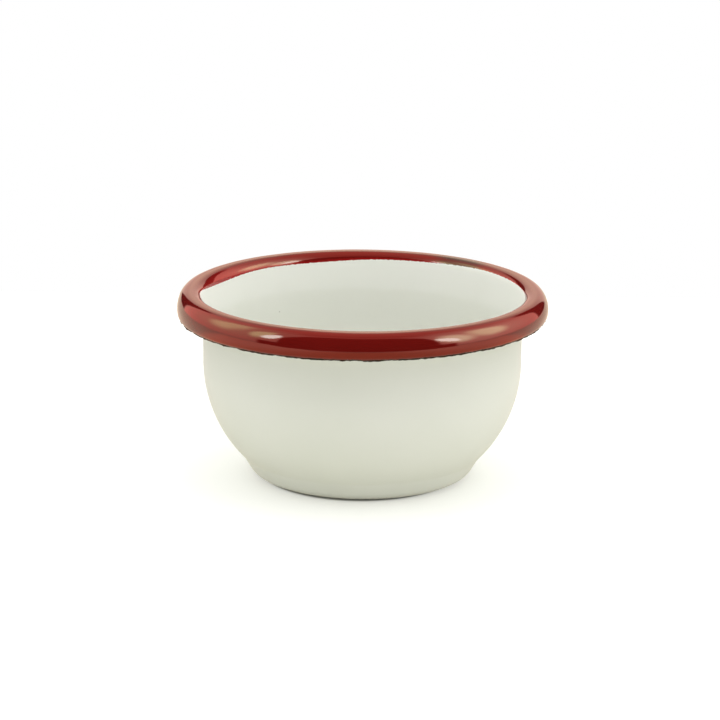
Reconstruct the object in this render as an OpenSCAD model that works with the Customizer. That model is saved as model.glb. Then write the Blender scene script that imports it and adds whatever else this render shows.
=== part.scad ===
// Enamelled dip bowl: a pressed steel bowl with a rolled rim, fired with a dark ground coat,
// a white coat inside and out, and a red coat on the rim.
// The origin is the middle of the base, on the table. Millimetres and degrees.

/* [Overall] */
// Diameter across the outside of the rim
rim_d = 80; // [66:0.5:120]
// Height from the table to the top of the rim
height = 41; // [35:0.5:60]

/* [Sheet and enamel] */
// Thickness of the pressed steel sheet
steel_t = 0.5; // [0.4:0.05:0.6]
// Thickness of the dark ground coat on each side of the steel
ground_t = 0.1; // [0.08:0.01:0.12]
// Thickness of the white coat or the red coat over the ground coat
cover_t = 0.2; // [0.15:0.01:0.24]

/* [Foot and body] */
// Lean of the foot's wall from upright
foot_lean = 31; // [20:1:40]
// Slant length of the foot's straight wall
foot_wall = 3; // [1:0.1:6]
// Radius of the rounding between the base and the foot's wall, measured outside
base_fillet = 3.5; // [2:0.1:8]
// Radius of the crease where the foot meets the body, measured outside
crease_r = 0.8; // [0.2:0.1:2]
// Lean of the body's wall from upright where it leaves the foot
body_lean = 45; // [41:1:60]
// Radius of the body's curve, measured outside
body_r = 28.7; // [20:0.1:34.5]

/* [Rim] */
// How far the rim stands out from the wall below it
rim_overhang = 5.6; // [4.6:0.1:7]
// Lean of the flared neck that leads the wall out into the rim
neck_lean = 12; // [8:1:20]
// Radius of the bend between the wall and the neck, measured inside the bowl
neck_bend_r = 8; // [2:0.1:10]
// Radius over the top of the rim, measured on the red coat
rim_top_r = 2.5; // [1.5:0.1:2.9]
// Radius of the rim's outer side, measured on the red coat
rim_side_r = 4.8; // [3:0.1:7]
// Radius of the bend at the rim's lower lip, measured on the red coat
rim_lip_r = 1.2; // [1.1:0.1:1.6]
// Tilt of the rim's surface above level where its outer side starts
side_from = 36; // [20:1:50]
// Tilt of the rim's surface below level where its lower lip starts
side_to = 11; // [0:1:16]
// Tilt below level where the red coat stops on the lip
red_to = 24; // [20:1:50]
// Tilt below level where the sheet is cut off under the rim
curl_to = 69; // [55:1:110]

/* [Hidden] */
$fn = 180;
// How far a facet of a bend may lie from the true curve
chord = 0.02;

// Distance from the middle of the steel sheet to the outer face of each layer
steel_face = steel_t / 2;
ground_face = steel_face + ground_t;
cover_face = ground_face + cover_t;

// Bend radii at the middle of the sheet, from the radii on the faces that show
fillet_mid = base_fillet - cover_face;
crease_mid = crease_r + cover_face;
body_mid = body_r - cover_face;
neck_mid = neck_bend_r - cover_face;
top_mid = rim_top_r - cover_face;
side_mid = rim_side_r - cover_face;
lip_mid = rim_lip_r - cover_face;

// Directions of travel along the sheet, from the axis outwards, above level
foot_way = 90 - foot_lean;
body_way = 90 - body_lean;
upright = 90;
neck_way = 90 - neck_lean;
side_way = side_from - 90;
lip_way = -90 - side_to;
red_way = -90 - red_to;
cut_way = -90 - curl_to;

// A unit step along a direction of travel, and one across it towards the coat that lines the bowl
function along(way) = [cos(way), sin(way)];
function across(way) = [-sin(way), cos(way)];

// The move made by following a bend of a given radius from one direction of travel to another
function bend(radius, from, to) = sign(to - from) * radius * (across(from) - across(to));

// The base is as wide as the foot and the body leave it, and the upright wall starts where the body ends
wall_mid_r = rim_d / 2 - rim_overhang - cover_face;
base_to_wall =
    bend(fillet_mid, 0, foot_way) + foot_wall * along(foot_way)
    + bend(crease_mid, foot_way, body_way) + bend(body_mid, body_way, upright);
base_flat_r = wall_mid_r - base_to_wall.x;

// The neck ends where the rim's top bend starts, which the overall sizes place
neck_to_top = bend(top_mid, neck_way, 0);
neck_to_side = bend(top_mid, neck_way, side_way) + bend(side_mid, side_way, -90);
neck_end = [rim_d / 2 - cover_face - neck_to_side.x, height - cover_face - neck_to_top.y];
wall_to_neck = bend(neck_mid, upright, neck_way);
neck_run = (neck_end.x - wall_mid_r - wall_to_neck.x) / cos(neck_way);
wall_run = neck_end.y - neck_run * sin(neck_way) - wall_to_neck.y - cover_face - base_to_wall.y;

// The middle of the sheet from the axis to the cut edge, as stretches of
// [length, way] for a straight one and [radius, way, next way] for a bent one
PATH = [
    [base_flat_r, 0],
    [fillet_mid, 0, foot_way],
    [foot_wall, foot_way],
    [crease_mid, foot_way, body_way],
    [body_mid, body_way, upright],
    [wall_run, upright],
    [neck_mid, upright, neck_way],
    [neck_run, neck_way],
    [top_mid, neck_way, side_way],
    [side_mid, side_way, lip_way],
    [lip_mid, lip_way, red_way],
    [lip_mid, red_way, cut_way],
    [ground_t, cut_way]
];

// Stretches of the path at which a layer starts or ends
BASE = 0;
NECK = 7;
RIM_TOP = 8;
RIM_SIDE = 9;
LIP_RED = 10;
LIP_BARE = 11;
CUT_EDGE = 12;

function is_bent(stretch) = len(stretch) == 3;
function move(stretch) =
    is_bent(stretch) ? bend(stretch[0], stretch[1], stretch[2]) : stretch[0] * along(stretch[1]);
function start(i) = i == 0 ? [0, cover_face] : start(i - 1) + move(PATH[i - 1]);

// Facets that a bent stretch needs to stay within the chord's limit on its widest face
function facets(stretch) =
    max(2, ceil(abs(stretch[2] - stretch[1]) / (2 * acos(1 - chord / (stretch[0] + cover_face)))));

// The corners of a layer's face on one stretch, after its start, at a distance off the middle of the sheet
function stretch_face(i, off) =
    is_bent(PATH[i])
        ? [
            for (k = [1:facets(PATH[i])])
                let (way = PATH[i][1] + (PATH[i][2] - PATH[i][1]) * k / facets(PATH[i]))
                start(i) + bend(PATH[i][0], PATH[i][1], way) + off * across(way)
        ]
        : [start(i + 1) + off * across(PATH[i][1])];

// A face of a layer from one stretch of the path to another
function face(first, last, off) = [
    start(first) + off * across(PATH[first][1]),
    for (i = [first:last]) each stretch_face(i, off)
];

function reversed(list) = [for (i = [len(list) - 1:-1:0]) list[i]];

// A layer of the bowl from one stretch of the path to another, between two distances from its middle
module layer(first, last, low, high) {
    rotate_extrude()
        polygon(concat(face(first, last, low), reversed(face(first, last, high))));
}

// The bowl pressed from one round sheet, with its foot, flared neck and rolled rim
module steel_shell() {
    color("#7d7f82")
        layer(BASE, LIP_BARE, -steel_face, steel_face);
}

// The dark coat on the face that lines the bowl and shows on the rim, closed over the cut edge
module ground_coat_inside() {
    color("#2a2622")
        rotate_extrude()
            polygon(concat(
                face(BASE, CUT_EDGE, ground_face),
                reversed(face(CUT_EDGE, CUT_EDGE, -ground_face)),
                reversed(face(BASE, LIP_BARE, steel_face))
            ));
}

// The dark coat on the underside, the outer wall and the hollow of the rim
module ground_coat_outside() {
    color("#2a2622")
        layer(BASE, LIP_BARE, -ground_face, -steel_face);
}

// The white coat that lines the bowl, up to the end of the neck
module white_coat_inside() {
    color("#eceadf")
        layer(BASE, NECK, ground_face, cover_face);
}

// The white coat under the base, up the outer wall and round inside the hollow rim
module white_coat_outside() {
    color("#eceadf")
        layer(BASE, RIM_SIDE, -cover_face, -ground_face);
}

// The red coat over the rim, from the end of the neck to the lower lip
module red_rim_coat() {
    color("#7f1710")
        layer(RIM_TOP, LIP_RED, ground_face, cover_face);
}

steel_shell();
ground_coat_inside();
ground_coat_outside();
white_coat_inside();
white_coat_outside();
red_rim_coat();
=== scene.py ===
# %% [markdown]
# # An enamelled dip bowl
# The bowl is one pressed steel sheet with a rolled rim, and glass is melted on to it in layers: a dark
# ground coat first, then white inside and outside, and red on the rim. Every layer follows the same
# curve, so this lesson draws that curve once and offsets it for each coat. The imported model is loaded
# first, because its size and place decide everything that follows.

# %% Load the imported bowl
import math

import bpy
import numpy as np
from mathutils import Matrix, Vector


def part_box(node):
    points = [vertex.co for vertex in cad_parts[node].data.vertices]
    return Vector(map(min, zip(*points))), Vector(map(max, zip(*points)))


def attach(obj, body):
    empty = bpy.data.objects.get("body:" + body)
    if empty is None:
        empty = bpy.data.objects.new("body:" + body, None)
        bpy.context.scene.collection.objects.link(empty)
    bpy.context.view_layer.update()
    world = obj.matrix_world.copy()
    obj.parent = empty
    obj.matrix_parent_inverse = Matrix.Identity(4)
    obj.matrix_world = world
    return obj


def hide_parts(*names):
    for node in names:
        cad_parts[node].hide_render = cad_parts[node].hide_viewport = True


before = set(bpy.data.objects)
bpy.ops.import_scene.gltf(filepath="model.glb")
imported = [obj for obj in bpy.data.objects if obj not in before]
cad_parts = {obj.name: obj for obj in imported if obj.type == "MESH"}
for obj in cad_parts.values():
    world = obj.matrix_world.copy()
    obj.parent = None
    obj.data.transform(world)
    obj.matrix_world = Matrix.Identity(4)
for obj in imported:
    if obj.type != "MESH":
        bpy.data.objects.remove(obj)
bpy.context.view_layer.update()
MM = 0.001
RIM_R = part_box("red_rim_coat")[1].x / MM
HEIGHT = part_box("red_rim_coat")[1].z / MM
print(f"the bowl is {2 * RIM_R:.1f} mm across the rim and {HEIGHT:.1f} mm high")

# %% [markdown]
# ## The sheet's middle line
# A press and a rolling tool shape the sheet, so its section is made of straight runs and round bends
# that run smoothly into each other. A spline through hand-placed points would wobble between them.
# Here the section is a list of stretches, each with a length or a bend radius and the directions in
# which it starts and ends, in degrees above level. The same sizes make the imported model, in millimetres.
# One bend is added here: the edge of the base turns up by almost half a millimetre before the foot, as
# pressed bases do, and so a dark line shows between the bowl and the table.

# %% Sizes of the section
# Thickness of the layers, and the height of each layer's face above the middle of the steel
STEEL_T, GROUND_T, COVER_T = 0.5, 0.1, 0.2
STEEL_FACE = STEEL_T / 2
GROUND_FACE = STEEL_FACE + GROUND_T
COVER_FACE = GROUND_FACE + COVER_T
# Radii of the coated bends, lengths of the runs, and directions in degrees, from the base to the rim
EDGE_R, EDGE_TO = 16, 14
FOOT_LEAN, FOOT_WALL, BASE_FILLET, CREASE_R = 31, 3.0, 3.5, 0.8
BODY_LEAN, BODY_R = 45, 28.7
RIM_OVERHANG, NECK_LEAN, NECK_BEND_R = 5.6, 12, 8.0
RIM_TOP_R, RIM_SIDE_R, RIM_LIP_R = 2.5, 4.8, 1.2
# Degrees before straight down where the rim's side starts, and past it where side, red and curl end
SIDE_FROM, SIDE_TO, RED_TO, CURL_TO = 36, 11, 24, 69
LEVEL, UPRIGHT, DOWN = 0, 90, -90


def along(way):
    """Unit step in a direction of travel: cosine outwards, sine upwards."""
    return np.array([np.cos(np.radians(way)), np.sin(np.radians(way))])


def across(way):
    """Unit step square to the travel, towards the coat that lines the bowl."""
    return np.array([-np.sin(np.radians(way)), np.cos(np.radians(way))])


def bend(radius, start, end):
    """The move made by a bend: the difference of the two cross steps, times the radius."""
    return np.sign(end - start) * radius * (across(start) - across(end))


# %% Stretches of the section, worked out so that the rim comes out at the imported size
foot_way, body_way, neck_way = UPRIGHT - FOOT_LEAN, UPRIGHT - BODY_LEAN, UPRIGHT - NECK_LEAN
side_way, lip_way = DOWN + SIDE_FROM, DOWN - SIDE_TO
red_way, cut_way = DOWN - RED_TO, DOWN - CURL_TO
edge_mid, fillet_mid = EDGE_R - COVER_FACE, BASE_FILLET - COVER_FACE
crease_mid, body_mid = CREASE_R + COVER_FACE, BODY_R - COVER_FACE
neck_mid, top_mid = NECK_BEND_R - COVER_FACE, RIM_TOP_R - COVER_FACE
side_mid, lip_mid = RIM_SIDE_R - COVER_FACE, RIM_LIP_R - COVER_FACE

wall_r = RIM_R - RIM_OVERHANG - COVER_FACE
base_to_wall = (
    bend(edge_mid, LEVEL, EDGE_TO)
    + bend(fillet_mid, EDGE_TO, foot_way)
    + FOOT_WALL * along(foot_way)
    + bend(crease_mid, foot_way, body_way)
    + bend(body_mid, body_way, UPRIGHT)
)
neck_to_side = bend(top_mid, neck_way, side_way) + bend(side_mid, side_way, DOWN)
neck_to_top = bend(top_mid, neck_way, LEVEL)
neck_end = np.array([RIM_R - COVER_FACE - neck_to_side[0], HEIGHT - COVER_FACE - neck_to_top[1]])
wall_to_neck = bend(neck_mid, UPRIGHT, neck_way)
neck_run = (neck_end[0] - wall_r - wall_to_neck[0]) / along(neck_way)[0]
neck_start_z = neck_end[1] - neck_run * along(neck_way)[1] - wall_to_neck[1]
wall_run = neck_start_z - COVER_FACE - base_to_wall[1]
base_flat_r = wall_r - base_to_wall[0]

STRETCHES = {
    "base": (base_flat_r, LEVEL, LEVEL),
    "base edge": (edge_mid, LEVEL, EDGE_TO),
    "fillet": (fillet_mid, EDGE_TO, foot_way),
    "foot": (FOOT_WALL, foot_way, foot_way),
    "crease": (crease_mid, foot_way, body_way),
    "body": (body_mid, body_way, UPRIGHT),
    "wall": (wall_run, UPRIGHT, UPRIGHT),
    "neck bend": (neck_mid, UPRIGHT, neck_way),
    "neck": (neck_run, neck_way, neck_way),
    "rim top": (top_mid, neck_way, side_way),
    "rim side": (side_mid, side_way, lip_way),
    "red lip": (lip_mid, lip_way, red_way),
    "bare lip": (lip_mid, red_way, cut_way),
}
print(f"flat base {2 * base_flat_r:.1f} mm across, straight wall {wall_run:.1f} mm, neck {neck_run:.1f} mm")

# %% [markdown]
# ## From stretches to one curve
# To place a point of a coat, we ask for the spot at a distance s along the middle line and step off it
# by the coat's height. So the stretches are sampled into four arrays (radius, height and the two parts
# of the cross step) against s, and `numpy.interp` reads any of them for a whole grid of s at once.

# %% Sample the middle line
BEND_STEP = 1.0
RUN_STEP = 0.5


def sample_stretch(spot, size, start, end):
    """A run is spot + s along; a bend is its centre minus the radius times the turning cross step."""
    if start == end:
        count = max(2, int(np.ceil(size / RUN_STEP)) + 1)
        s = np.linspace(0, size, count)
        points = spot + s[:, None] * along(start)
        ways = np.full(count, float(start))
    else:
        count = max(3, int(np.ceil(abs(end - start) / BEND_STEP)) + 1)
        ways = np.linspace(start, end, count)
        turn = np.sign(end - start)
        points = spot + turn * size * (across(start) - across(ways).T)
        s = size * np.radians(np.abs(ways - start))
    return s, points, across(ways).T


spot, length, STOP = np.array([0.0, COVER_FACE]), 0.0, {}
parts = []
for name, (size, start, end) in STRETCHES.items():
    s, points, steps = sample_stretch(spot, size, start, end)
    parts.append(np.column_stack([s + length, points, steps])[1 if parts else 0:])
    spot, length = points[-1], length + s[-1]
    STOP[name] = length
LINE_S, LINE_R, LINE_Z, LINE_NR, LINE_NZ = np.concatenate(parts).T
CUT_S = LINE_S[-1]
print(f"the sheet is {length:.1f} mm from its middle to its cut edge, in {len(LINE_S)} samples")

# %% [markdown]
# ## Reading the curve
# A rolling tool never closes a rim quite evenly. Tilting the whole rim would tilt its top too, so only
# the rolled part moves: it hangs a little low all round, lower on the left and higher on the right. The
# reader of the curve takes the angle round the bowl for that.

# %% Read the line
ROLL_UNEVEN, ROLL_LOW = 0.28, 0.12
SAME_SPOT = 1e-6


def eased(share):
    """Rises from 0 to 1 with level ends: 3 t squared minus 2 t cubed."""
    t = np.clip(share, 0, 1)
    return t * t * (3 - 2 * t)


def on_line(s, off, angle):
    """Spot s along the sheet, off above its middle, at an angle: the lip hangs lower on the left."""
    rolled = eased((s - STOP["rim top"]) / (STOP["red lip"] - STOP["rim top"]))
    r = np.interp(s, LINE_S, LINE_R) + off * np.interp(s, LINE_S, LINE_NR)
    z = np.interp(s, LINE_S, LINE_Z) + off * np.interp(s, LINE_S, LINE_NZ)
    return r + 0 * angle, z + rolled * (ROLL_UNEVEN * np.cos(angle) - ROLL_LOW)


def rows_between(first, last, every):
    """Spots between two places on the line: every so many samples, with both ends kept."""
    inside = LINE_S[(LINE_S > first + SAME_SPOT) & (LINE_S < last - SAME_SPOT)][::every]
    return np.concatenate([[first], inside, [last]])


# %% [markdown]
# ## Turning a section into a closed mesh
# A coat is a thin solid, so its section is a loop: along its outer face, round the edge and back along
# the face that lies on the coat below. Blender's Screw modifier could spin such a loop, but then every
# section would be the same, and the real edges are ragged. So each row of the loop is an array over the
# angle round the bowl. A coat that covers the base has a loop that starts and ends on the axis, where
# the ring of points becomes one point, and the rim coat's loop closes on itself.


# %% Mesh from rows of rings
def round_the_bowl(count):
    """Angles of one full turn, from the right-hand side over the back."""
    return np.linspace(0, 2 * np.pi, count, endpoint=False)


def signed_volume(mesh):
    """Sum over the triangles of a . (b x c) / 6, which is positive when the faces point outwards."""
    mesh.calc_loop_triangles()
    corners = np.zeros(len(mesh.loop_triangles) * 3, np.int32)
    mesh.loop_triangles.foreach_get("vertices", corners)
    places = np.zeros(len(mesh.vertices) * 3)
    mesh.vertices.foreach_get("co", places)
    a, b, c = places.reshape(-1, 3)[corners.reshape(-1, 3)].transpose(1, 0, 2)
    return float((a * np.cross(b, c)).sum() / 6)


def ring_mesh(name, rows_r, rows_z, on_axis):
    """Rows of rings: x = r cos a, y = r sin a. Quads join each row to the next, and fans close the axis."""
    rows, count = rows_r.shape
    angle = round_the_bowl(count)
    points = np.stack([rows_r * np.cos(angle), rows_r * np.sin(angle), rows_z], -1) * MM
    index = np.arange(rows * count).reshape(rows, count)
    below, above = (index[1:-2], index[2:-1]) if on_axis else (index, np.roll(index, -1, 0))
    quads = np.stack([below, np.roll(below, -1, 1), np.roll(above, -1, 1), above], -1).reshape(-1, 4)
    faces, verts = quads.tolist(), points.reshape(-1, 3)
    if on_axis:
        verts = np.concatenate([verts[index[1:-1].ravel()], [points[0].mean(0), points[-1].mean(0)]])
        first, last, pole = index[0], index[-3], np.full(count, len(verts) - 2)
        fans = [(pole, np.roll(first, -1), first), (pole + 1, last, np.roll(last, -1))]
        faces = (quads - count).tolist() + np.concatenate([np.stack(fan, -1) for fan in fans]).tolist()
    mesh = bpy.data.meshes.new(name)
    mesh.from_pydata(verts, [], faces)
    mesh.polygons.foreach_set("use_smooth", np.ones(len(mesh.polygons), bool))
    if signed_volume(mesh) < 0:
        mesh.flip_normals()
    obj = bpy.data.objects.new(name, mesh)
    bpy.context.scene.collection.objects.link(obj)
    print(f"{name}: {len(mesh.loop_triangles)} triangles, {signed_volume(mesh) / MM**3:.0f} cubic mm")
    return obj


# %% [markdown]
# ## Hand-fired unevenness
# Enamel is sprayed or dipped, then melts and flows a little, so its edges wander and its gloss ripples.
# Both come from sums of cosine waves round the bowl, with seeded random sizes and phases: whole numbers
# of waves, so that the start and the end of the turn meet.

# %% Waves round the bowl
WAVE_SPREAD = 0.35
FEWEST_RIPPLES = 2


def waves(angle, seed, first, last, fall):
    """Sum of cos(k a + phase) for k from first to last, each of size k to the power -fall; spread is 1."""
    rng = np.random.default_rng(seed)
    k = np.arange(first, last + 1)
    size = rng.normal(1, WAVE_SPREAD, len(k)) * k ** -float(fall)
    phase = rng.uniform(0, 2 * np.pi, len(k))
    total = np.cos(np.outer(angle, k) + phase) @ size
    return total / total.std()


def swell(angle, s, seed, count, most_waves, most_turns):
    """Sum of cos(k a + m s + phase): slow ripples over the surface, scaled to lie between 0 and -1."""
    rng = np.random.default_rng(seed)
    total = np.zeros(np.broadcast(angle, s).shape)
    for k, m, phase in zip(
        rng.integers(FEWEST_RIPPLES, most_waves, count),
        rng.uniform(-most_turns, most_turns, count),
        rng.uniform(0, 2 * np.pi, count),
    ):
        total += np.cos(k * angle + m * s + phase)
    return (total - total.max()) / np.ptp(total)


def rounded(distance, width):
    """Height of a melted edge: a quarter of an ellipse that rises from 0 to 1 over the width."""
    d = np.clip(distance / width, 0, 1)
    return np.sqrt(1 - (1 - d) ** 2)


# %% [markdown]
# ## Where the red stops
# The rim is dipped or brushed by hand. Inside the bowl the red reaches further down on the left than on
# the right, with a run at the back left, and it is drawn back at the far left. Under the rim it stops
# short of the cut edge. Both edges wander slowly and have fine jags. The coats below need these lines
# too: the white lining runs a little way under the red, and the ground coat swells where the red ends.
# So both lines are functions of the angle.

# %% Lines of the red's two edges
RED_LEVEL, RED_SLANT, RED_WANDER = 0.19, 0.53, 0.07
RUN_AT, RUN_LENGTH, RUN_TIGHT = math.radians(152), 0.45, 26
BARE_AT, BARE_LENGTH, BARE_TIGHT = math.radians(184), 1.1, 34
LIP_PAST, LIP_WANDER, LIP_JAGS = 0.26, 0.03, 0.035
# Each set of waves is a seed, the fewest and the most waves in a turn, and how fast they get smaller
RED_WAVES, LIP_WAVES, LIP_JAG_WAVES = (11, 2, 9, 0.5), (13, 2, 12, 0.6), (14, 25, 300, 0.8)


def bump(angle, middle, tight):
    """A smooth bump round the bowl: 1 in its middle, falling off to both sides."""
    return np.exp(tight * (np.cos(angle - middle) - 1))


def red_run(angle):
    """Share of the run at an angle."""
    return bump(angle, RUN_AT, RUN_TIGHT)


def red_start(angle):
    """Spot where the red starts: the neck's end, plus a slant round the bowl, the run and waves."""
    slant = RED_LEVEL + RED_SLANT * np.cos(angle)
    run = BARE_LENGTH * bump(angle, BARE_AT, BARE_TIGHT) - RUN_LENGTH * red_run(angle)
    return STOP["neck"] + slant + run + RED_WANDER * waves(angle, *RED_WAVES)


def red_end(angle):
    """Spot on the lip where the red stops, just short of the dark cut edge."""
    wander = LIP_WANDER * waves(angle, *LIP_WAVES)
    return STOP["red lip"] + LIP_PAST + wander + LIP_JAGS * waves(angle, *LIP_JAG_WAVES)


# %% [markdown]
# ## The steel and the dark ground coat
# The steel can't be seen on a sound bowl. It is here so that the layers are whole when the part is cut
# open or chipped in a later use. The ground coat shows only as a thin dark line under the rim, where
# the red has drawn back from the edge of the sheet. Molten enamel gathers on a sharp edge, so the coat
# ends in a row of small beads, made by letting its height at the lip vary with the angle.

# %% Steel and the ground coat on its back
HIDDEN_RINGS = 320
HIDDEN_EVERY = 3


def layer_loop(s, low, high):
    """Out along the upper face and back along the lower one, both at a fixed height."""
    angle = round_the_bowl(HIDDEN_RINGS)
    return [np.concatenate(pair) for pair in zip(on_line(s, high, angle), on_line(s[::-1], low, angle))]


hidden_s = rows_between(0, CUT_S, HIDDEN_EVERY)[:, None]
steel = ring_mesh("pressed_steel", *layer_loop(hidden_s, -STEEL_FACE, STEEL_FACE), True)
ground_out = ring_mesh("ground_coat_back", *layer_loop(hidden_s, -GROUND_FACE, -STEEL_FACE), True)

# %% Beads along the edge of the sheet
GROUND_RINGS = 680
BEAD_MIDDLE, BEAD_SIDES, BEAD_SPREAD, BEAD_LEAST, BEAD_MOST = 0.18, 0.16, 0.06, 0.08, 0.45
BEAD_WAVES = (21, 18, 260, 0.7)
angle = round_the_bowl(GROUND_RINGS)
bead = BEAD_MIDDLE + BEAD_SIDES * np.abs(np.cos(angle)) + BEAD_SPREAD * waves(angle, *BEAD_WAVES)
bead = np.clip(bead, BEAD_LEAST, BEAD_MOST)
print(f"the beads are {bead.min():.2f} to {bead.max():.2f} mm high")

# %% Ground coat that lines the bowl and turns over the cut edge in a round nose
WALL_EVERY, LIP_EVERY = 9, 2
BEAD_RISE = 0.12
NOSE_STEPS = 9
wall_rows = rows_between(0, STOP["rim side"], WALL_EVERY)
lip_rows = rows_between(STOP["red lip"], CUT_S, LIP_EVERY)
ground_s = np.concatenate([wall_rows, lip_rows])[:, None]
lip_height = GROUND_FACE + bead * eased((ground_s - red_end(angle)) / BEAD_RISE)
out_r, out_z = on_line(ground_s, lip_height, angle)
nose = np.radians(np.linspace(UPRIGHT, DOWN, NOSE_STEPS))[1:-1, None]
cut_r, cut_z = on_line(CUT_S, 0.0, angle)
reach = (GROUND_T + bead / 2) * np.cos(nose)
height = np.where(nose > 0, GROUND_FACE + bead, GROUND_FACE) * np.sin(nose)
nose_r = cut_r + reach * along(cut_way)[0] + height * across(cut_way)[0]
nose_z = cut_z + reach * along(cut_way)[1] + height * across(cut_way)[1]
end_r, end_z = on_line(CUT_S, np.array([[-GROUND_FACE], [-STEEL_FACE]]), angle)
in_r, in_z = on_line(ground_s[::-1], STEEL_FACE, angle)
ground_in = ring_mesh(
    "ground_coat_lining",
    np.concatenate([out_r, nose_r, end_r, in_r]),
    np.concatenate([out_z, nose_z, end_z, in_z]),
    True,
)

# %% [markdown]
# ## The white coats
# The white lining runs from the middle of the bowl up the flared neck, and ends in a melted edge that
# the red coat hides. The outer white starts under the base, climbs the wall and ends inside the hollow
# of the rim. Rows follow the samples of the middle line, so the bends stay round, and the last rows
# close up towards the edge.

# %% White lining and white outside
WHITE_RINGS = 384
WHITE_EVERY, EDGE_ROWS = 3, 18
LAP_W, MELT_W = 0.6, 0.3


def white_face(s, end):
    """Height of the white's face: the cover's thickness, down to the ground coat at its melted end."""
    return GROUND_FACE + COVER_T * rounded(end - s, MELT_W)


def coat_loop(fixed_s, end, side):
    """Out along the cover coat to an end that may vary round the bowl, and back along the ground coat."""
    angle = round_the_bowl(WHITE_RINGS)
    closing = 1 - (1 - np.linspace(0, 1, EDGE_ROWS)[1:, None]) ** 2
    still = np.repeat(fixed_s[:, None], WHITE_RINGS, 1)
    s = np.concatenate([still, fixed_s[-1] + closing * (end - fixed_s[-1])])
    out = on_line(s, side * white_face(s, end), angle)
    back = on_line(s[-2::-1], side * GROUND_FACE, angle)
    return [np.concatenate(pair) for pair in zip(out, back)]


lining_end = red_start(round_the_bowl(WHITE_RINGS)) + LAP_W
lining_loop = coat_loop(rows_between(0, STOP["neck bend"], WHITE_EVERY), lining_end, 1)
white_in = ring_mesh("white_lining", *lining_loop, True)
outside_end = np.full(WHITE_RINGS, STOP["rim side"])
outside_loop = coat_loop(rows_between(0, STOP["rim top"], WHITE_EVERY), outside_end, -1)
white_out = ring_mesh("white_outside", *outside_loop, True)

# %% [markdown]
# ## The red rim
# The red coat goes on last. Inside the bowl it laps over the white, and under the rim it stops just
# short of the cut edge, so that a dark ragged line is left. Its face ripples by a few hundredths of a
# millimetre, which bends the mirror image of the lamps along the rim. Rows are closer together at the
# two edges, where the film thins out.

# %% Rows of the red coat
RED_RINGS, RED_ROWS, UNDER_ROWS = 1200, 58, 12
RED_JAGS, RED_JAG_WAVES = 0.03, (12, 90, 500, 0.4)
CROWDING = 0.9
angle = round_the_bowl(RED_RINGS)
white_end = red_start(angle) + LAP_W
inner_edge = np.minimum(red_start(angle) + RED_JAGS * waves(angle, *RED_JAG_WAVES), white_end - MELT_W)
lip_edge = red_end(angle)
share = np.linspace(0, 1, RED_ROWS)[:, None]
share = share - CROWDING * np.sin(2 * np.pi * share) / (2 * np.pi)
red_s = inner_edge + (lip_edge - inner_edge) * share
back_s = inner_edge + (lip_edge - inner_edge) * np.linspace(1, 0, UNDER_ROWS)[1:-1, None]
print(f"the red is {np.min(lip_edge - inner_edge):.1f} to {np.max(lip_edge - inner_edge):.1f} mm wide")

# %% Red coat
LAP_T, LAP_RUN = 0.05, 0.8
FILM_W, LIP_MELT_W = 0.45, 0.12
# Depth of the ripples, and their seed, count, most waves in a turn and most radians in a millimetre
RIPPLE, RIPPLES = 0.035, (15, 40, 40, 0.5)


def under_red(s):
    """Height of what the red lies on: the white up to its melted end, and the ground coat past it."""
    return np.where(s < white_end, white_face(s, white_end), GROUND_FACE)


bed = under_red(red_s)
lap = LAP_T * eased((white_end + LAP_RUN - red_s) / LAP_RUN)
face = COVER_FACE + lap + RIPPLE * swell(angle, red_s, *RIPPLES)
film = rounded(red_s - inner_edge, FILM_W) * rounded(lip_edge - red_s, LIP_MELT_W)
out_r, out_z = on_line(red_s, bed + (face - bed) * film, angle)
in_r, in_z = on_line(back_s, under_red(back_s), angle)
red = ring_mesh("red_rim", np.concatenate([out_r, in_r]), np.concatenate([out_z, in_z]), False)

# %% [markdown]
# ## What the red's finish has to know
# The red is clear, so its colour changes where the film thins out at its two edges. At the back, on the
# right, one patch is so thin that the dark coat shows through. A texture could be painted for this, but
# the mesh already knows these distances, so they are stored on its points for the finish to read.

# %% Distances and patch, stored on the red coat
FILM_LEAST, RUN_THIN = 0.3, 2.5
PATCH_AT, PATCH_HALF, PATCH_DEPTH = math.radians(52), math.radians(13), 2.8
PATCH_SIDE_FADE, PATCH_END_FADE = 1.6, 2


def point_values(obj, name, values):
    """Stores one number a vertex as a named attribute that a material can read."""
    layer = obj.data.attributes.new(name, "FLOAT", "POINT")
    layer.data.foreach_set("value", values.astype(np.float32).ravel())
    print(f"{name}: {values.min():.2f} to {values.max():.2f}")


all_s = np.concatenate([red_s, back_s])
see_through = FILM_LEAST + (1 - FILM_LEAST) * (1 - np.cos(angle)) / 2 + RUN_THIN * red_run(angle)
patch_round = eased(PATCH_SIDE_FADE * (1 - np.abs(angle - PATCH_AT) / PATCH_HALF))
patch_down = eased((PATCH_DEPTH - all_s + inner_edge) / PATCH_DEPTH * PATCH_END_FADE)
point_values(red, "from_inner_edge", (all_s - inner_edge) / see_through)
point_values(red, "from_lip_edge", lip_edge - all_s)
point_values(red, "thin_patch", patch_round * patch_down)

# %% [markdown]
# ## Effects that several finishes share
# Fired enamel has a faint orange-peel ripple, its colour drifts a little where it is thicker, and small
# specks of the ground coat come through. Each effect is a node group with named sockets, so that every
# enamel uses the same recipe with its own values.

# %% Node group helpers
VECTOR, NUMBER, COLOUR = "NodeSocketVector", "NodeSocketFloat", "NodeSocketColor"


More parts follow.
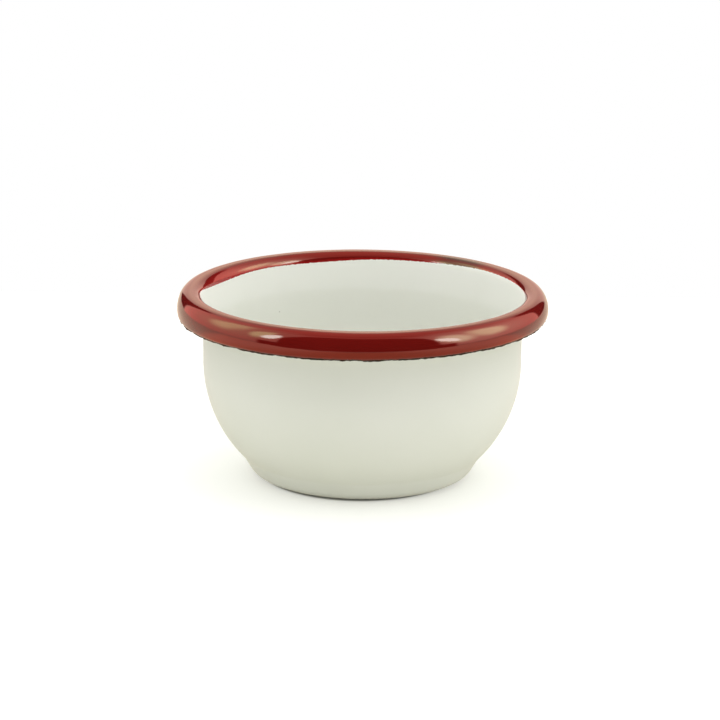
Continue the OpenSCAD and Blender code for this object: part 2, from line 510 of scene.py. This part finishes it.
def new_group(name, inputs, outputs):
    """An empty shader group with the given sockets, as (name, kind, default) and (name, kind)."""
    group = bpy.data.node_groups.new(name, "ShaderNodeTree")
    for label, kind, value in inputs:
        socket = group.interface.new_socket(label, in_out="INPUT", socket_type=kind)
        if value is not None:
            socket.default_value = value
    for label, kind in outputs:
        group.interface.new_socket(label, in_out="OUTPUT", socket_type=kind)
    return group, group.nodes.new("NodeGroupInput"), group.nodes.new("NodeGroupOutput")


def add_node(tree, kind, values=None, **settings):
    """A node with its settings, and with its input sockets set by name."""
    node = tree.nodes.new(kind)
    for key, value in settings.items():
        setattr(node, key, value)
    for key, value in (values or {}).items():
        node.inputs[key].default_value = value
    return node


# %% Orange peel
def orange_peel_group():
    """Height of the melted surface: a slow wave plus a fine one, from two noise textures."""
    group, inp, out = new_group(
        "orange_peel",
        [
            ("Vector", VECTOR, None),
            ("Slow Scale", NUMBER, 120.0),
            ("Fine Scale", NUMBER, 900.0),
            ("Fine Share", NUMBER, 0.3),
        ],
        [("Height", NUMBER)],
    )
    slow = add_node(group, "ShaderNodeTexNoise", {"Detail": 1.0})
    fine = add_node(group, "ShaderNodeTexNoise", {"Detail": 2.0})
    blend = add_node(group, "ShaderNodeMix")
    link = group.links.new
    link(inp.outputs["Vector"], slow.inputs["Vector"])
    link(inp.outputs["Vector"], fine.inputs["Vector"])
    link(inp.outputs["Slow Scale"], slow.inputs["Scale"])
    link(inp.outputs["Fine Scale"], fine.inputs["Scale"])
    link(inp.outputs["Fine Share"], blend.inputs["Factor"])
    link(slow.outputs["Fac"], blend.inputs["A"])
    link(fine.outputs["Fac"], blend.inputs["B"])
    link(blend.outputs["Result"], out.inputs["Height"])
    return group


# %% Colour drift
def colour_drift_group():
    """A colour that wanders towards a second one by a soft noise."""
    group, inp, out = new_group(
        "colour_drift",
        [
            ("Vector", VECTOR, None),
            ("Thin", COLOUR, None),
            ("Thick", COLOUR, None),
            ("Scale", NUMBER, 40.0),
        ],
        [("Colour", COLOUR)],
    )
    noise = add_node(group, "ShaderNodeTexNoise", {"Detail": 3.0, "Roughness": 0.55})
    ramp = add_node(group, "ShaderNodeMapRange", {"From Min": 0.3, "From Max": 0.7})
    mix = add_node(group, "ShaderNodeMix", data_type="RGBA")
    link = group.links.new
    link(inp.outputs["Vector"], noise.inputs["Vector"])
    link(inp.outputs["Scale"], noise.inputs["Scale"])
    link(noise.outputs["Fac"], ramp.inputs["Value"])
    link(ramp.outputs["Result"], mix.inputs["Factor"])
    link(inp.outputs["Thin"], mix.inputs["A"])
    link(inp.outputs["Thick"], mix.inputs["B"])
    link(mix.outputs["Result"], out.inputs["Colour"])
    return group


# %% Specks
def specks_group():
    """Dots where a cell's own random number is low: near the cell's point, softened over its size."""
    group, inp, out = new_group(
        "ground_specks",
        [
            ("Vector", VECTOR, None),
            ("Cells", NUMBER, 150.0),
            ("Share", NUMBER, 0.04),
            ("Size", NUMBER, 0.12),
        ],
        [("Mask", NUMBER)],
    )
    cells = add_node(group, "ShaderNodeTexVoronoi", {"Randomness": 1.0})
    dot = add_node(group, "ShaderNodeMapRange", {"From Min": 0.0, "To Min": 1.0, "To Max": 0.0})
    luck = add_node(group, "ShaderNodeSeparateColor")
    chosen = add_node(group, "ShaderNodeMath", operation="LESS_THAN")
    both = add_node(group, "ShaderNodeMath", operation="MULTIPLY")
    link = group.links.new
    link(inp.outputs["Vector"], cells.inputs["Vector"])
    link(inp.outputs["Cells"], cells.inputs["Scale"])
    link(cells.outputs["Distance"], dot.inputs["Value"])
    link(inp.outputs["Size"], dot.inputs["From Max"])
    link(cells.outputs["Color"], luck.inputs["Color"])
    link(luck.outputs["Red"], chosen.inputs[0])
    link(inp.outputs["Share"], chosen.inputs[1])
    link(dot.outputs["Result"], both.inputs[0])
    link(chosen.outputs["Value"], both.inputs[1])
    link(both.outputs["Value"], out.inputs["Mask"])
    return group


ORANGE_PEEL, COLOUR_DRIFT, SPECKS = orange_peel_group(), colour_drift_group(), specks_group()
print("shared effects:", ", ".join(g.name for g in (ORANGE_PEEL, COLOUR_DRIFT, SPECKS)))

# %% [markdown]
# ## The finishes
# Each finish is one Principled BSDF. The values that are the same all over, such as the refractive index
# of the glass, are set on its sockets. What changes over the surface comes from the groups above.

# %% Finish helpers
GLASS_IOR = 1.5


def new_finish(name, roughness):
    """A material with a Principled BSDF and an Object coordinate to hang the groups on."""
    material = bpy.data.materials.new(name)
    material.use_nodes = True
    tree = material.node_tree
    shader = tree.nodes["Principled BSDF"]
    shader.inputs["Roughness"].default_value = roughness
    shader.inputs["IOR"].default_value = GLASS_IOR
    place = tree.nodes.new("ShaderNodeTexCoord").outputs["Object"]
    return material, tree, shader, place


def use_group(tree, group, place, **values):
    """A group placed in a material, fed with the coordinate and with its own values."""
    node = add_node(tree, "ShaderNodeGroup", node_tree=group)
    tree.links.new(place, node.inputs["Vector"])
    for key, value in values.items():
        node.inputs[key.replace("_", " ")].default_value = value
    return node


def add_peel(tree, shader, place, depth, **values):
    """Orange peel as a relief of the given depth in metres."""
    peel = use_group(tree, ORANGE_PEEL, place, **values)
    relief = add_node(tree, "ShaderNodeBump", {"Strength": 1.0, "Distance": depth})
    tree.links.new(peel.outputs["Height"], relief.inputs["Height"])
    tree.links.new(relief.outputs["Normal"], shader.inputs["Normal"])


def lay_over(tree, below, mask, colour):
    """The colour mixed by a mask over the one below, which is a socket or a plain colour."""
    mix = add_node(tree, "ShaderNodeMix", data_type="RGBA")
    mix.inputs["B"].default_value = colour
    tree.links.new(mask, mix.inputs["Factor"])
    if isinstance(below, tuple):
        mix.inputs["A"].default_value = below
    else:
        tree.links.new(below, mix.inputs["A"])
    return mix.outputs["Result"]


# %% [markdown]
# ## White enamel
# The white is milky glass that hides the dark coat below it. One flat colour would look like plastic, so
# it drifts between two whites that are close to each other, and a few specks of the ground coat show. It
# mirrors almost nothing in the photograph, so its gloss is set very low.

# %% White enamel
WHITE_THIN, WHITE_THICK = (0.785, 0.8, 0.735, 1), (0.81, 0.82, 0.765, 1)
SPECK_COLOUR = (0.12, 0.1, 0.08, 1)
WHITE_PEEL = 0.00002


def white_enamel():
    """Milky white satin glass that drifts between two whites, with a few specks of the ground coat."""
    material, tree, shader, place = new_finish("white_enamel", roughness=0.45)
    shader.inputs["Specular IOR Level"].default_value = 0.01
    drift = use_group(tree, COLOUR_DRIFT, place, Thin=WHITE_THIN, Thick=WHITE_THICK, Scale=35.0)
    specks = use_group(tree, SPECKS, place, Cells=160.0, Share=0.05, Size=0.04)
    colour = lay_over(tree, drift.outputs["Colour"], specks.outputs["Mask"], SPECK_COLOUR)
    tree.links.new(colour, shader.inputs["Base Color"])
    add_peel(tree, shader, place, WHITE_PEEL, Slow_Scale=150.0, Fine_Scale=1200.0, Fine_Share=0.25)
    return material


# %% [markdown]
# ## Red enamel
# The red is clear glass, so what lies under it shows where it is thin: it turns brighter over the white
# and almost black over the ground coat. Tracing light through real glass layers would be slow, and an
# export would lose it. So the distances stored on the mesh mix the colours, and the thin patch is brown
# with small pale dots.

# %% Red enamel
RED_THIN, RED_THICK = (0.142, 0.0057, 0.0043, 1), (0.128, 0.0049, 0.0035, 1)
OVER_WHITE, OVER_GROUND = (0.36, 0.011, 0.01, 1), (0.05, 0.012, 0.007, 1)
OVER_WHITE_W, OVER_GROUND_W = 0.7, 0.2
PATCH_BROWN, PATCH_TAN = (0.042, 0.008, 0.005, 1), (0.34, 0.26, 0.19, 1)
RED_PEEL = 0.00001


def calc(tree, operation, a, b=0.0):
    """A Math node on two sockets or numbers, and its result."""
    node = add_node(tree, "ShaderNodeMath", operation=operation)
    for socket, value in zip(node.inputs, (a, b)):
        if isinstance(value, (int, float)):
            socket.default_value = value
        else:
            tree.links.new(value, socket)
    return node.outputs["Value"]


def times(tree, a, b):
    """The product of two sockets or numbers."""
    return calc(tree, "MULTIPLY", a, b)


def red_enamel():
    """Deep clear red, brighter where it thins out over the white and darker over the ground coat."""
    material, tree, shader, place = new_finish("red_enamel", roughness=0.05)
    drift = use_group(tree, COLOUR_DRIFT, place, Thin=RED_THIN, Thick=RED_THICK, Scale=60.0)
    colour = drift.outputs["Colour"]
    for name, width, edge_colour in (
        ("from_inner_edge", OVER_WHITE_W, OVER_WHITE),
        ("from_lip_edge", OVER_GROUND_W, OVER_GROUND),
    ):
        distance = add_node(tree, "ShaderNodeAttribute", attribute_name=name)
        near = add_node(tree, "ShaderNodeMapRange", {"From Max": width, "To Min": 1.0, "To Max": 0.0})
        tree.links.new(distance.outputs["Fac"], near.inputs["Value"])
        colour = lay_over(tree, colour, near.outputs["Result"], edge_colour)
    patch = add_node(tree, "ShaderNodeAttribute", attribute_name="thin_patch").outputs["Fac"]
    colour = lay_over(tree, colour, patch, PATCH_BROWN)
    dots = use_group(tree, SPECKS, place, Cells=1500.0, Share=0.12, Size=0.42)
    colour = lay_over(tree, colour, times(tree, dots.outputs["Mask"], patch), PATCH_TAN)
    tree.links.new(colour, shader.inputs["Base Color"])
    add_peel(tree, shader, place, RED_PEEL, Slow_Scale=220.0, Fine_Scale=1500.0, Fine_Share=0.2)
    return material


# %% [markdown]
# ## Ground enamel and steel
# The ground coat is dark because of the metal oxides that make it hold on to the steel, and it is rougher
# than the coats over it. The sheet itself is dull, cold-rolled steel.

# %% Ground enamel and steel
GROUND_BROWN, GROUND_BLACK = (0.03, 0.02, 0.008, 1), (0.014, 0.01, 0.005, 1)
STEEL_LIGHT, STEEL_DULL = (0.46, 0.46, 0.47, 1), (0.4, 0.4, 0.41, 1)
GROUND_PEEL = 0.00003


def ground_enamel():
    """Almost black brown glass, rougher than the coats over it."""
    material, tree, shader, place = new_finish("ground_enamel", roughness=0.6)
    shader.inputs["Specular IOR Level"].default_value = 0.2
    drift = use_group(tree, COLOUR_DRIFT, place, Thin=GROUND_BROWN, Thick=GROUND_BLACK, Scale=400.0)
    tree.links.new(drift.outputs["Colour"], shader.inputs["Base Color"])
    add_peel(tree, shader, place, GROUND_PEEL, Slow_Scale=300.0, Fine_Scale=1600.0, Fine_Share=0.5)
    return material


def pressed_sheet():
    """Bare mild steel with the dull drift of a cold-rolled sheet."""
    material, tree, shader, place = new_finish("pressed_sheet", roughness=0.45)
    shader.inputs["Metallic"].default_value = 1.0
    drift = use_group(tree, COLOUR_DRIFT, place, Thin=STEEL_LIGHT, Thick=STEEL_DULL, Scale=90.0)
    tree.links.new(drift.outputs["Colour"], shader.inputs["Base Color"])
    return material


WHITE, RED, GROUND, STEEL = white_enamel(), red_enamel(), ground_enamel(), pressed_sheet()
print("finishes:", ", ".join(m.name for m in (WHITE, RED, GROUND, STEEL)))

# %% [markdown]
# ## Putting the pieces into the imported frame
# Each new piece stands for one node of the imported model, which it hides, takes its own finish and moves
# with the bowl's one body.

# %% Bind pieces to nodes
for piece, node, slot, finish in (
    (steel, "steel_shell", "steel", STEEL),
    (ground_in, "ground_coat_inside", "ground_enamel", GROUND),
    (ground_out, "ground_coat_outside", "ground_enamel", GROUND),
    (white_in, "white_coat_inside", "white_enamel", WHITE),
    (white_out, "white_coat_outside", "white_enamel", WHITE),
    (red, "red_rim_coat", "red_enamel", RED),
):
    piece.data.materials.append(finish)
    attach(piece, "root")
    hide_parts(node)
    print(f"{piece.name} stands for {node}")

# %% [markdown]
# ## Table
# The bowl stands on a white table, which lies a hair below the base so that the two faces don't flicker.
# One plain white plane would do for a first picture, but here each kind of ray needs something else. In
# the light that it sends on to the wall, the table is grey. To the camera it is white with the bowl's
# soft shadow on it: a glow lifts it, and stops in an oval under the bowl, so that a dark line is left at
# the base, the real shadow of the gap darkened further by painted shade. A mirror ray sees a plain sheet:
# reddish in front, brighter at the far sides, and paler close to the bowl and behind it. Its red is painted
# light, which stands in for brighter light on the red rim.

# %% Soft steps
def step(tree, value, middle, half, low=0.0, high=1.0):
    """Low below the middle and high above it, with a smooth change over half on each side."""
    node = add_node(
        tree,
        "ShaderNodeMapRange",
        {"From Min": middle - half, "From Max": middle + half, "To Min": low, "To Max": high},
        interpolation_type="SMOOTHSTEP",
    )
    tree.links.new(value, node.inputs["Value"])
    return node.outputs["Result"]


def drop(tree, value, middle, half):
    """1 below the middle and 0 above it, with a smooth change over half on each side."""
    return step(tree, value, middle, half, 1.0, 0.0)


def distance_of(tree, a, b):
    """The root of a squared plus b squared."""
    return calc(tree, "SQRT", calc(tree, "ADD", times(tree, a, a), times(tree, b, b)))


# %% The sheet that mirror rays see
# The strong red of the near and far colours is painted light: it stands in for brighter light on the red
# rim.
NEAR_MIRRORED_PAINTED_LIGHT, FAR_MIRRORED_PAINTED_LIGHT = (1.9, 0.6, 0.31, 1), (2.9, 1.08, 0.76, 1)
PALE_MIRRORED = (1.2, 0.95, 0.72, 1)
NEAR_X, FAR_X = 0.02, 0.16
# Middle and half width of the change to the pale sheet: behind the bowl, and round it
BEHIND_Y, CLOSE_R = (0.02, 0.03), (0.06, 0.015)


def mirrored_sheet(tree, x, y, radius):
    """Reddish in the middle, brighter at the far sides, and pale behind the bowl and close to it."""
    far = step(tree, calc(tree, "ABSOLUTE", x), (NEAR_X + FAR_X) / 2, (FAR_X - NEAR_X) / 2)
    sheet = lay_over(tree, NEAR_MIRRORED_PAINTED_LIGHT, far, FAR_MIRRORED_PAINTED_LIGHT)
    sheet = lay_over(tree, sheet, step(tree, y, *BEHIND_Y), PALE_MIRRORED)
    return lay_over(tree, sheet, drop(tree, radius, *CLOSE_R), PALE_MIRRORED)


# %% Table finish
TABLE_SEEN, TABLE_GREY = (0.66, 0.665, 0.645, 1), (0.76, 0.76, 0.66, 1)
TABLE_GLOW = (0.42, 0.42, 0.395, 1)
# The glow starts at an oval under the bowl and leaves painted shade inside it: its middle and half width of
# change, shift and narrowing in x
PAINTED_SHADE_EDGE, PAINTED_SHADE_SHIFT, PAINTED_SHADE_NARROW = (0.0221, 0.0006), 0.0005, 1.05


def table_finish():
    """Matt: white to the camera, grey in the light it sends on, a plain sheet where gloss mirrors it."""
    material, tree, shader, place = new_finish("white_table", roughness=0.9)
    shader.inputs["Specular IOR Level"].default_value = 0.0
    shader.inputs["Emission Color"].default_value = TABLE_GLOW
    path = tree.nodes.new("ShaderNodeLightPath")
    seen, glossy = path.outputs["Is Camera Ray"], path.outputs["Is Glossy Ray"]
    tree.links.new(lay_over(tree, TABLE_GREY, seen, TABLE_SEEN), shader.inputs["Base Color"])
    split = add_node(tree, "ShaderNodeSeparateXYZ")
    tree.links.new(place, split.inputs["Vector"])
    x, y = split.outputs["X"], split.outputs["Y"]
    # Painted shade: the camera's glow stops in an oval round the base, which darkens the line under the
    # base.
    radius = distance_of(tree, times(tree, calc(tree, "ADD", x, PAINTED_SHADE_SHIFT), PAINTED_SHADE_NARROW), y)
    glow = times(tree, step(tree, radius, *PAINTED_SHADE_EDGE), seen)
    tree.links.new(glow, shader.inputs["Emission Strength"])
    mirrored = tree.nodes.new("ShaderNodeEmission")
    tree.links.new(mirrored_sheet(tree, x, y, radius), mirrored.inputs["Color"])
    either = tree.nodes.new("ShaderNodeMixShader")
    tree.links.new(glossy, either.inputs["Fac"])
    tree.links.new(shader.outputs["BSDF"], either.inputs[1])
    tree.links.new(mirrored.outputs["Emission"], either.inputs[2])
    tree.links.new(either.outputs["Shader"], tree.nodes["Material Output"].inputs["Surface"])
    return material


# %% Table
TABLE_X, TABLE_FRONT, TABLE_BACK, TABLE_Z = 0.5, -0.25, 0.16, -0.00002
table_mesh = bpy.data.meshes.new("table")
corners = [(-TABLE_X, TABLE_FRONT), (TABLE_X, TABLE_FRONT), (TABLE_X, TABLE_BACK), (-TABLE_X, TABLE_BACK)]
table_mesh.from_pydata([(x, y, TABLE_Z) for x, y in corners], [], [(0, 1, 2, 3)])
table = bpy.data.objects.new("table", table_mesh)
bpy.context.scene.collection.objects.link(table)
table_mesh.materials.append(table_finish())
print(f"the table is {2 * TABLE_X:.2f} m wide and {TABLE_BACK - TABLE_FRONT:.2f} m deep")

# %% [markdown]
# ## Light tent
# The light comes from a soft tent round the table. It could be built from lamps and sheets, but painting
# it on the world by direction gives each place its own level with no noise from small lamps. Directions
# are a turn from the camera's side and a rise above level, in degrees. The light on the bowl is grey:
# bright overhead, dimmer towards the camera, with a brighter card on the right and a low strip all round
# that lights the wall under the rim. The gloss of the rim mirrors a second painting of the tent, like a
# fisheye: a pale backdrop with a dark gap on each side, warm cards to the left and right with a lamp at
# the front edge of each, and the dark opening that the camera looks through. Only mirror rays see that
# one, so the light on the bowl stays neutral. The camera itself sees plain white.
# The red tones of that painting, at the sides and overhead, are painted light: they stand in for brighter
# light on the sides and top of the red rim.

# %% Areas by direction
HALF_TURN = 180.0


def card(tree, turn, rise, middle, half, soft, lean=0.0):
    """An ellipse in turn and rise that fades out round its edge and may lean."""
    above = calc(tree, "SUBTRACT", rise, middle[1])
    aside = calc(tree, "SUBTRACT", turn, calc(tree, "ADD", times(tree, above, lean), middle[0]))
    over, up = calc(tree, "DIVIDE", aside, half[0]), calc(tree, "DIVIDE", above, half[1])
    return drop(tree, distance_of(tree, over, up), 1.0, soft)


def between(tree, value, low, high, soft):
    """1 between two values and 0 outside, softened at both."""
    return times(tree, step(tree, value, low, soft), drop(tree, value, high, soft))


# %% Dark gaps and the camera's opening
GAP_LOW, GAP_TOP = (-1.5, 1.0), (34.5, 4.0)
GAP_NEAR_SOFT, GAP_FAR_SOFT = 1.2, 1.5
OPENING_MIDDLE, OPENING_HALF, OPENING_TOP, OPENING_SOFT = -2.2, 51.5, 58, 0.13
OPENING_LOW, LOW_SOFT = -7, 1.5
SLOT_LEFT, SLOT_RIGHT, SLOT_SOFT, SLOT_TOP = -66, 58, 2, 8


def gap(tree, turn, rise, side, near, far, lean):
    """An upright slot beside the backdrop, whose edge near the backdrop leans away with the rise."""
    from_back = calc(tree, "SUBTRACT", HALF_TURN, times(tree, turn, float(side)))
    leaning = calc(tree, "SUBTRACT", from_back, times(tree, rise, lean))
    wide = times(tree, step(tree, leaning, near, GAP_NEAR_SOFT), drop(tree, from_back, far, GAP_FAR_SOFT))
    return times(tree, wide, times(tree, step(tree, rise, *GAP_LOW), drop(tree, rise, *GAP_TOP)))


def opening(tree, turn, rise):
    """An arch where turn and rise, as shares of its size, have fourth powers that add up to less than 1."""
    over = calc(tree, "DIVIDE", calc(tree, "SUBTRACT", turn, OPENING_MIDDLE), OPENING_HALF)
    up = calc(tree, "DIVIDE", rise, OPENING_TOP)
    squares = [times(tree, way, way) for way in (over, up)]
    fourths = [times(tree, way, way) for way in squares]
    inside = drop(tree, calc(tree, "ADD", *fourths), 1.0, OPENING_SOFT)
    return times(tree, inside, step(tree, rise, OPENING_LOW, LOW_SOFT))


def low_slot(tree, turn, rise):
    """A wide low slot at the foot of the opening."""
    wide = between(tree, turn, SLOT_LEFT, SLOT_RIGHT, SLOT_SOFT)
    return times(tree, wide, between(tree, rise, OPENING_LOW, SLOT_TOP, LOW_SOFT))


# %% What the rim mirrors
# The red in the side and ceiling colours is painted light, which stands in for brighter light on the red
# rim.
BACK, SIDES_RED_PAINTED_LIGHT, SIDES_FROM = (1.25, 0.83, 0.67, 1), (2.6, 0.83, 0.67, 1), (37, 4)
CEILING_RED_PAINTED_LIGHT, CEILING_FROM = (2.3, 0.5, 0.37, 1), (0.87, 0.1)
CEILING_FRONT_RED_PAINTED_LIGHT, CEILING_FRONT_FROM = (1.7, 0.3, 0.22, 1), (0.15, 0.12)
GAP, OPENING = (0.02, 0.02, 0.02, 1), (0.01, 0.01, 0.01, 1)
FAR_FLOOR, FLOOR_TO = (1.1, 0.9, 0.68, 1), (-2.0, 1.5)
# Each is a colour, its middle and half size in turn and rise, its softness, and for lamps a lean
BACKDROPS = (
    ((1.9, 1.35, 1.0, 1), (0, 36), (21, 20), 0.35),
    ((3.4, 2.8, 2.1, 1), (0, 42), (9, 14), 0.7),
)
CARDS = (
    ((3.2, 1.6, 1.1, 1), (-90, 30), (32, 25), 0.7),
    ((5.0, 2.3, 1.75, 1), (82, 27), (34, 27), 0.7),
    ((5.2, 3.8, 2.1, 1), (-100, 31), (13, 17), 0.5),
    ((6.0, 4.9, 2.6, 1), (-70.5, 31), (6.5, 15), 0.5),
    ((8.6, 6.4, 4.0, 1), (91, 29), (13, 15), 0.5),
    ((9.2, 7.0, 4.7, 1), (64, 27), (11, 16), 0.5),
)
LAMPS = (
    ((13.6, 12.5, 11.2, 1), (-60.8, 27.5), (5.4, 10), 0.3, 0.2),
    ((15.0, 13.0, 11.4, 1), (56.8, 25.8), (5.8, 9.2), 0.3, -0.35),
)
# Each gap is its side, its near and far edge from straight behind, and a lean
GAPS = ((-1, 17, 36.5, 0.28), (1, 23, 44, 0.22))


def mirrored_areas(tree, ahead, z, turn, rise):
    """What the rim mirrors, as (colour, mask), from the sides and the ceiling to the camera's opening."""
    from_back = calc(tree, "SUBTRACT", HALF_TURN, calc(tree, "ABSOLUTE", turn))
    yield SIDES_RED_PAINTED_LIGHT, step(tree, from_back, *SIDES_FROM)
    overhead = step(tree, z, *CEILING_FROM)
    yield CEILING_RED_PAINTED_LIGHT, overhead
    yield CEILING_FRONT_RED_PAINTED_LIGHT, times(tree, overhead, step(tree, ahead, *CEILING_FRONT_FROM))
    for colour, *shape in BACKDROPS:
        yield colour, card(tree, from_back, rise, *shape)
    for colour, *shape in CARDS + LAMPS:
        yield colour, card(tree, turn, rise, *shape)
    for slot in GAPS:
        yield GAP, gap(tree, turn, rise, *slot)
    yield FAR_FLOOR, drop(tree, rise, *FLOOR_TO)
    yield OPENING, opening(tree, turn, rise)
    yield OPENING, low_slot(tree, turn, rise)


# %% Light on the bowl
LIGHT_SIDES = 0.82
LIGHT_RIGHT, RIGHT_CARD = 1.42, ((84, 24), (38, 28), 0.7)
LIGHT_TOP, TOP_FROM = 2.3, (0.8, 0.08)
LIGHT_FRONT, FRONT_FROM = 0.46, (0.47, 0.04)
LIGHT_LOW, LOW_STRIP = 1.5, (0, 14, 4)
LIGHT_BELOW, BELOW_TO = 0.1, (0.0, 0.02)


def light_areas(tree, ahead, z, turn, rise):
    """Levels of the light on the bowl, as (level, mask)."""
    yield LIGHT_RIGHT, card(tree, turn, rise, *RIGHT_CARD)
    yield LIGHT_TOP, step(tree, z, *TOP_FROM)
    yield LIGHT_FRONT, step(tree, ahead, *FRONT_FROM)
    yield LIGHT_LOW, between(tree, rise, *LOW_STRIP)
    yield LIGHT_BELOW, drop(tree, z, *BELOW_TO)


# %% World
SEEN_WHITE = (1, 1, 1, 1)


def tent_world():
    """Paints the tent once in colour and once in grey, and gives each kind of ray its own."""
    world = bpy.data.worlds.new("light_tent")
    bpy.context.scene.world = world
    world.use_nodes = True
    tree = world.node_tree
    way = add_node(tree, "ShaderNodeSeparateXYZ")
    tree.links.new(tree.nodes.new("ShaderNodeTexCoord").outputs["Generated"], way.inputs["Vector"])
    x, y, z = way.outputs
    ahead = times(tree, y, -1.0)
    turn = calc(tree, "DEGREES", calc(tree, "ARCTAN2", x, ahead))
    rise = calc(tree, "DEGREES", calc(tree, "ARCSINE", z))
    mirror, light = BACK, (LIGHT_SIDES, LIGHT_SIDES, LIGHT_SIDES, 1)
    for colour, mask in mirrored_areas(tree, ahead, z, turn, rise):
        mirror = lay_over(tree, mirror, mask, colour)
    for level, mask in light_areas(tree, ahead, z, turn, rise):
        light = lay_over(tree, light, mask, (level, level, level, 1))
    path = tree.nodes.new("ShaderNodeLightPath")
    either = add_node(tree, "ShaderNodeMix", data_type="RGBA")
    tree.links.new(path.outputs["Is Glossy Ray"], either.inputs["Factor"])
    tree.links.new(light, either.inputs["A"])
    tree.links.new(mirror, either.inputs["B"])
    seen = lay_over(tree, either.outputs["Result"], path.outputs["Is Camera Ray"], SEEN_WHITE)
    tree.links.new(seen, tree.nodes["Background"].inputs["Color"])
    print(f"the tent has {len(CARDS)} cards and {len(LAMPS)} lamps")


tent_world()

# %% [markdown]
# ## Camera
# The camera stands as the photograph's did: a long lens, a little above the rim. The distance and the
# focal length come from the outline of the bowl, with the image taken as 720 pixels wide. The point it
# aims at lies on the axis of the bowl, and the shift moves that point to its pixel in the image.

# %% Camera
IMAGE = 720
CAMERA_ELEVATION, CAMERA_DISTANCE, FOCAL_PIXELS, CAMERA_ROLL = 15.38, 0.7, 3226, 0.55
AIM_HEIGHT = 0.02
AIM_X, AIM_Y = 362.0, 382.5
SENSOR = 36

camera = bpy.data.cameras.new("camera")
camera.sensor_width = SENSOR
camera.lens = FOCAL_PIXELS / IMAGE * SENSOR
camera.shift_x = (IMAGE / 2 - AIM_X) / IMAGE
camera.shift_y = (AIM_Y - IMAGE / 2) / IMAGE
eye = bpy.data.objects.new("camera", camera)
bpy.context.scene.collection.objects.link(eye)
tilt = math.radians(CAMERA_ELEVATION)
stand = Vector((0, -math.cos(tilt), math.sin(tilt))) * CAMERA_DISTANCE + Vector((0, 0, AIM_HEIGHT))
facing = Matrix.Rotation(math.radians(UPRIGHT) - tilt, 4, "X")
roll = Matrix.Rotation(math.radians(CAMERA_ROLL), 4, "Z")
eye.matrix_world = Matrix.Translation(stand) @ (facing @ roll)
bpy.context.scene.camera = eye
bpy.context.scene.view_settings.view_transform = "Standard"
print(f"the lens is {camera.lens:.0f} mm, {CAMERA_DISTANCE} m from the bowl")
